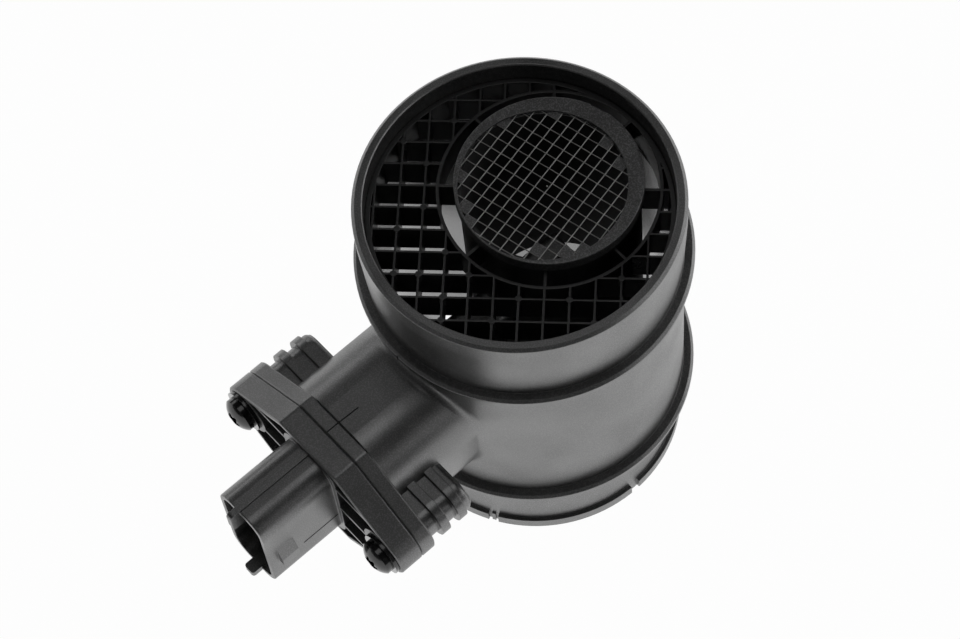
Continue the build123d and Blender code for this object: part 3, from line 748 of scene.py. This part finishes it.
@dataclass
class RingDetail:
    """Part cells of the mesh that the ring's plastic fills, and marks on the ring.

    Attributes:
        mesh: The mesh that the ring holds.
        cells: Column and row of each filled cell, from the mesh's middle crossing.
        thickness: Thickness of the plastic in a cell, in millimetres like all sizes here.
        marks: Place across, place along and radius of each round mark.
        mark_wire: Radius of a mark's section.
        mark_steps: Steps round a mark.
        mark_sides: Sides of a mark's section.
        bead_place: Place of the mesh's weld bead.
        bead_radius: Radius of the bead.
        bead_rounds: Times that the bead's faces are divided.
    """

    mesh: WovenMesh
    cells: tuple[tuple[int, int], ...] = (
        (-4, 5), (-7, 2), (-5, -6), (-4, -7), (2, -6),
        (4, -5), (5, -4), (3, 4), (1, 5), (-7, -4),
    )
    thickness: float = 0.4
    marks: tuple[tuple[float, float, float], ...] = (
        (-20.51, 0.98, 0.5), (19.09, 20.25, 0.7), (21.15, 14.44, 0.85), (-22.1, 9.3, 0.4),
    )
    mark_wire: float = 0.08
    mark_steps: int = 32
    mark_sides: int = 8
    bead_place: tuple[float, float] = (0.93, 8.02)
    bead_radius: float = 0.26
    bead_rounds: int = 3

    def plate(self, cell: tuple[int, int]) -> bpy.types.Object:
        """Model the plastic in one cell, cut off inside the ring's groove.

        Args:
            cell: Column and row of the cell.

        Returns:
            The thin plate.
        """
        turn = math.radians(self.mesh.turn)
        pitch = self.mesh.pitch
        offset = Vector(((cell[0] + 0.5) * pitch, (cell[1] + 0.5) * pitch, 0))
        crossing = Vector((self.mesh.crossing_x, self.mesh.crossing_y, 0))
        middle = crossing + Matrix.Rotation(turn, 3, "Z") @ offset
        deselect()
        bpy.ops.mesh.primitive_cube_add(
            size=pitch * MM, location=self.mesh.centre + middle * MM, rotation=(0, 0, turn)
        )
        plate = bpy.context.object
        plate.scale = (1, 1, self.thickness / pitch)
        apply_place(plate)
        outward = middle.normalized()
        trim(plate, [(self.mesh.centre + outward * self.mesh.reach * MM, outward)])
        return plate

    def mark(self, x: float, y: float, radius: float) -> bpy.types.Object:
        """Model one round mark as a low raised circle.

        Args:
            x: Place across the part.
            y: Place along it.
            radius: Radius of the circle.

        Returns:
            The circle, half sunk in the ring's face.
        """
        deselect()
        bpy.ops.mesh.primitive_torus_add(
            major_radius=radius * MM,
            minor_radius=self.mark_wire * MM,
            major_segments=self.mark_steps,
            minor_segments=self.mark_sides,
            location=(x * MM, y * MM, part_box("mesh_ring")[1].z),
        )
        bpy.ops.object.shade_smooth()
        return bpy.context.object

    def bead(self) -> bpy.types.Object:
        """Model the bead of a weld on the mesh.

        Returns:
            The bead.
        """
        x, y = self.bead_place
        deselect()
        bpy.ops.mesh.primitive_ico_sphere_add(
            subdivisions=self.bead_rounds,
            radius=self.bead_radius * MM,
            location=(x * MM, y * MM, self.mesh.centre.z + self.mesh.wire_radius * MM),
        )
        bpy.ops.object.shade_smooth()
        return bpy.context.object

    def build(self, plastic: bpy.types.Material, steel: bpy.types.Material) -> None:
        """Build the filled cells, the marks and the weld bead of the mesh.

        Args:
            plastic: Finish of the ring.
            steel: Finish of the wires.
        """
        plates = [self.plate(cell) for cell in self.cells]
        finish_piece(plates, "ring_flash", plastic)
        marks = [self.mark(x, y, radius) for x, y, radius in self.marks]
        finish_piece(marks, "ring_marks", plastic)
        finish_piece([self.bead()], "weld_bead", steel)


@dataclass
class MouldSeams:
    """Thin raised lines where the mould halves met, in a near-black dull finish that paints the
    shade of a groove.

    Attributes:
        width: Width across a seam, in millimetres like all sizes here.
        height: Height that it stands proud.
        crest: Rounding of its edges, as a share of its smaller side.
        crest_steps: Steps in that rounding.
        neck: Ends of the seam on top of the neck.
        flange: Ends of the seam on top of the housing's flange.
        socket: Ends of the seam on the side of the socket.
        band_radius: Radius of the upper band.
        band_ends: Heights of the ends of the band's seam.
        band_angle: Degrees round the tube from X to the band's seam.
    """

    width: float = 0.3
    height: float = 0.06
    crest: float = 0.45
    crest_steps: int = 2
    neck: tuple[Point, Point] = ((0.1, -55.0, 73.9), (-0.1, -61.0, 73.9))
    flange: tuple[Point, Point] = ((-0.3, -61.2, 73.5), (-0.3, -64.7, 73.5))
    socket: tuple[Point, Point] = ((8.3, -71.8, 49.0), (8.3, -83.0, 49.0))
    band_radius: float = 41.8
    band_ends: tuple[float, float] = (82.4, 84.7)
    band_angle: float = 271.0

    def strip(self, start: Vector, end: Vector, up: Vector) -> bpy.types.Object:
        """Model one seam with a rounded crest.

        Args:
            start: One end of the seam.
            end: Other end.
            up: Direction that it stands out.

        Returns:
            The seam, half sunk in its surface.
        """
        along = end - start
        side = up.cross(along).normalized()
        turn = Matrix((along.normalized(), side, up)).transposed().to_4x4()
        deselect()
        bpy.ops.mesh.primitive_cube_add(size=1)
        seam = bpy.context.object
        size = Matrix.Diagonal((along.length * MM, self.width * MM, 2 * self.height * MM, 1))
        seam.matrix_world = Matrix.Translation((start + end) / 2 * MM) @ turn @ size
        apply_place(seam)
        bpy.ops.object.modifier_add(type="BEVEL")
        bevel = seam.modifiers[-1]
        bevel.width = min(self.width, self.height) * self.crest * MM
        bevel.segments = self.crest_steps
        bpy.ops.object.modifier_apply(modifier=bevel.name)
        return seam

    def build(self, material: bpy.types.Material) -> None:
        """Build the seams of the housing and of the sensor.

        Args:
            material: Finish of the seams, near black and dull as painted shade.
        """
        up = Vector((0, 0, 1))
        side = Vector((1, 0, 0))
        turn = math.radians(self.band_angle)
        out = Vector((math.cos(turn), math.sin(turn), 0))
        pieces = [self.strip(*map(Vector, ends), up) for ends in (self.neck, self.flange)]
        low, high = (out * self.band_radius + up * end for end in self.band_ends)
        pieces.append(self.strip(low, high, out))
        finish_piece(pieces, "housing_seams_painted_shade", material)
        seam = self.strip(*map(Vector, self.socket), side)
        finish_piece([seam], "sensor_seam_painted_shade", material)


# ---------------------------------------------------------------- stage, lights and camera


def direction(azimuth: float, elevation: float) -> Vector:
    """Unit vector from the part, with azimuth 0 towards -Y and 90 towards +X.

    Args:
        azimuth: Degrees round the tube axis.
        elevation: Degrees above the table.

    Returns:
        The unit vector.
    """
    turn, rise = math.radians(azimuth), math.radians(elevation)
    flat = math.cos(rise)
    return Vector((math.sin(turn) * flat, -math.cos(turn) * flat, math.sin(rise)))


@dataclass(frozen=True)
class SoftBox:
    """One soft box, placed round the part and turned to it.

    Attributes:
        name: Name of the lamp.
        azimuth: Degrees round the tube axis.
        elevation: Degrees above the table.
        width: Width in metres.
        height: Height in metres.
        radiance: Brightness of its face, where 1 is white.
        distance: Distance from the part, in metres.
    """

    name: str
    azimuth: float
    elevation: float
    width: float
    height: float
    radiance: float
    distance: float = 1.3

    def build(self, target: Vector) -> None:
        """Hang the box.

        Args:
            target: Point that it faces.
        """
        lamp = bpy.data.lights.new(self.name, "AREA")
        lamp.shape = "RECTANGLE"
        lamp.size = self.width
        lamp.size_y = self.height
        lamp.energy = math.pi * self.width * self.height * self.radiance
        thing = bpy.data.objects.new(self.name, lamp)
        bpy.context.collection.objects.link(thing)
        away = direction(self.azimuth, self.elevation)
        thing.location = target + away * self.distance
        thing.rotation_euler = away.to_track_quat("Z", "Y").to_euler()


BOXES = (
    SoftBox("overhead_box", 225.0, 86.0, 0.6, 0.6, 0.95),
    SoftBox("left_box", 277.0, 24.0, 1.1, 0.35, 1.2),
    SoftBox("back_box", 232.0, 22.0, 1.0, 0.3, 0.9),
    SoftBox("right_box", 138.0, 27.0, 1.4, 0.5, 1.05),
    SoftBox("low_box", 172.0, 8.0, 1.4, 0.3, 1.5),
)


@dataclass
class Stage:
    """Table and room that only the camera sees as white, and the soft boxes.

    Attributes:
        half_size: Half the side of the table, in metres.
        drop: Gap under the part, in metres.
        tone: Lightness of the table where light falls on it.
        roughness: Roughness of the table.
        shade: How much of the table's own shading the camera sees.
        bore: Radius under the tube of the painted shadow that the tube casts, in metres.
        bore_blur: Half the width of that circle's soft edge, in metres.
        pool: Place under the tube, in metres, of a painted pool of light, as if it fell through
            the grid.
        pool_slope: Slope of the edge of that place across the tube.
        pool_blur: Half the width of its soft edges, in metres.
        horizon: Brightness of the room at the table's edge.
        ceiling: Brightness of the room overhead.
    """

    half_size: float = 6.0
    drop: float = 0.0002
    tone: float = 0.9
    roughness: float = 0.8
    shade: float = 0.02
    bore: float = 0.0356
    bore_blur: float = 0.001
    pool: tuple[float, float] = (-0.007, 0.012)
    pool_slope: float = 0.7
    pool_blur: float = 0.002
    horizon: float = 0.1
    ceiling: float = 0.02

    def painted_floor_shadow_and_pool(self, tree: Tree) -> Socket:
        """Mask of the table that reflections see as white, with a painted shadow and a painted
        pool of light.

        It is all of the table but the tube's floor, which is a painted shadow, and in there a
        painted pool of light.

        Args:
            tree: The table's material tree.

        Returns:
            The mask output.
        """
        where = add_node(tree, "ShaderNodeTexCoord").outputs["Object"]
        place = add_node(tree, "ShaderNodeSeparateXYZ", {0: where}).outputs
        reach = add_node(tree, "ShaderNodeVectorMath", {0: where}, operation="LENGTH")
        # Painted shadow: reflections see the floor inside the tube as dark.
        painted_shadow_edge = (self.bore - self.bore_blur, self.bore + self.bore_blur)
        outside = remap(tree, reach.outputs["Value"], *painted_shadow_edge)
        # Painted pool of light on the floor inside the tube, bounded at the side and the front.
        x, y = self.pool
        side = remap(tree, place["X"], x + self.pool_blur, x - self.pool_blur)
        slant = maths(tree, "MULTIPLY_ADD", place["X"], -self.pool_slope, place["Y"])
        edge = y - self.pool_slope * x
        front = remap(tree, slant, edge - self.pool_blur, edge + self.pool_blur)
        return maths(tree, "MAXIMUM", outside, maths(tree, "MULTIPLY", side, front))

    def table(self) -> None:
        """Make the table, marked as stage."""
        deselect()
        bpy.ops.mesh.primitive_plane_add(size=2 * self.half_size, location=(0, 0, -self.drop))
        table = settle(bpy.context.object, "white_table")
        material = bpy.data.materials.new("white_table")
        material.use_nodes = True
        tree = material.node_tree
        matt = tree.nodes["Principled BSDF"]
        matt.inputs["Base Color"].default_value = (self.tone, self.tone, self.tone, 1)
        matt.inputs["Roughness"].default_value = self.roughness
        glow = add_node(tree, "ShaderNodeEmission", {"Strength": 1.0})
        glossy = add_node(tree, "ShaderNodeLightPath").outputs["Is Glossy Ray"]
        # Reflections see the white table, with the painted shadow and pool of light under the
        # tube.
        mirrored = maths(tree, "MULTIPLY", glossy, self.painted_floor_shadow_and_pool(tree))
        seen = seen_straight(tree)
        share = maths(tree, "MULTIPLY_ADD", seen, 1 - self.shade, mirrored, clamp=True)
        surface = mix_shaders(tree, share, matt, glow)
        tree.links.new(surface, tree.nodes["Material Output"].inputs["Surface"])
        table.data.materials.append(material)
        table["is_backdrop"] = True

    def room(self) -> None:
        """Make the room: white to the camera, and dim in the light that it gives."""
        world = bpy.data.worlds.new("studio")
        bpy.context.scene.world = world
        world.use_nodes = True
        tree = world.node_tree
        tree.nodes.clear()
        where = add_node(tree, "ShaderNodeTexCoord").outputs["Generated"]
        height = add_node(tree, "ShaderNodeSeparateXYZ", {0: where}).outputs["Z"]
        ramp = add_node(tree, "ShaderNodeValToRGB", {0: height})
        for stop, tone in zip(ramp.color_ramp.elements, (self.horizon, self.ceiling), strict=True):
            stop.color = (tone, tone, tone, 1)
        dim = add_node(tree, "ShaderNodeBackground", {"Color": ramp.outputs[0], "Strength": 1.0})
        white = add_node(tree, "ShaderNodeBackground", {"Color": (1, 1, 1, 1), "Strength": 1.0})
        mixed = mix_shaders(tree, seen_straight(tree), dim, white)
        add_node(tree, "ShaderNodeOutputWorld", {"Surface": mixed})

    def build(self, target: Vector) -> None:
        """Set up the table, the room and the lights.

        Args:
            target: Point that the lights face.
        """
        self.table()
        self.room()
        for box in BOXES:
            box.build(target)


@dataclass
class Viewpoint:
    """Camera above the connector side, looking down into the inlet.

    Attributes:
        azimuth: Degrees round the tube axis.
        elevation: Degrees above the table.
        distance: Distance from the part's origin, in metres.
        pan: Degrees that it turns to the side.
        tilt: Degrees that it turns up or down.
        roll: Degrees that it turns round its line of sight.
        lens: Focal length in millimetres.
        sensor: Width of the sensor in millimetres.
        near: Nearest distance that it sees, in metres.
    """

    azimuth: float = 52.64
    elevation: float = 64.847
    distance: float = 0.771524
    pan: float = 1.0141
    tilt: float = 1.6157
    roll: float = 5.5290
    lens: float = 106.839
    sensor: float = 36.0
    near: float = 0.01

    def axes(self) -> Matrix:
        """Right, up and back directions of the camera as the columns of a matrix.

        Returns:
            The rotation matrix.
        """
        back = direction(self.azimuth, self.elevation)
        right = Vector((0, 0, 1)).cross(back).normalized()
        up = back.cross(right)
        level = Matrix((right, up, -back))
        pan = Matrix.Rotation(math.radians(self.pan), 3, "Y")
        tilt = Matrix.Rotation(math.radians(self.tilt), 3, "X")
        roll = Matrix.Rotation(math.radians(self.roll), 3, "Z")
        turned = roll @ tilt @ pan @ level
        return Matrix((turned[0], turned[1], -turned[2])).transposed()

    def build(self) -> None:
        """Make the camera and set it as the scene's."""
        lens = bpy.data.cameras.new("viewpoint")
        lens.lens = self.lens
        lens.sensor_width = self.sensor
        lens.sensor_fit = "HORIZONTAL"
        lens.clip_start = self.near
        camera = bpy.data.objects.new("viewpoint", lens)
        bpy.context.collection.objects.link(camera)
        place = Matrix.Translation(direction(self.azimuth, self.elevation) * self.distance)
        camera.matrix_world = place @ self.axes().to_4x4()
        bpy.context.scene.camera = camera


# ---------------------------------------------------------------- the whole part


class AirflowSensor:
    """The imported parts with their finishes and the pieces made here."""

    def __init__(self, frame: dict) -> None:
        """Keep the frame and build the finishes.
        """
        self.frame = frame
        effects = Effects()
        self.materials = {finish.slot.value: finish.material(effects) for finish in FINISHES}
        self.seam = SEAM_PAINTED_SHADE.material(effects)

    def dress(self) -> None:
        """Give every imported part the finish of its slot."""
        slots = {part["node"]: part["material_slot"] for part in self.frame["record"]["subparts"]}
        for name, part in self.frame["nodes"].items():
            wear(part, self.materials[slots[name]])

    def build(self) -> None:
        """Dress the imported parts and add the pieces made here."""
        self.dress()
        steel = self.materials[Slot.MESH.value]
        mesh = WovenMesh()
        mesh.build(steel)
        RingDetail(mesh).build(self.materials[Slot.RING.value], steel)
        MouldSeams().build(self.seam)


def plain_box(bounds: tuple[Vector, Vector]) -> list[list[float]]:
    """Bounds as plain lists of numbers."""
    return [[float(value) for value in corner] for corner in bounds]


def main() -> None:
    """Build the dressed part, its stage and its camera."""
    logging.basicConfig(level=logging.INFO, format="%(message)s")
    bpy.ops.wm.read_factory_settings(use_empty=True)
    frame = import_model()
    solid_box = plain_box(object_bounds())
    AirflowSensor(frame).build()
    low, high = (Vector(corner) for corner in solid_box)
    Stage().build((low + high) / 2)
    Viewpoint().build()
    bpy.context.scene.view_settings.view_transform = "Standard"


if __name__ == "__main__":
    main()
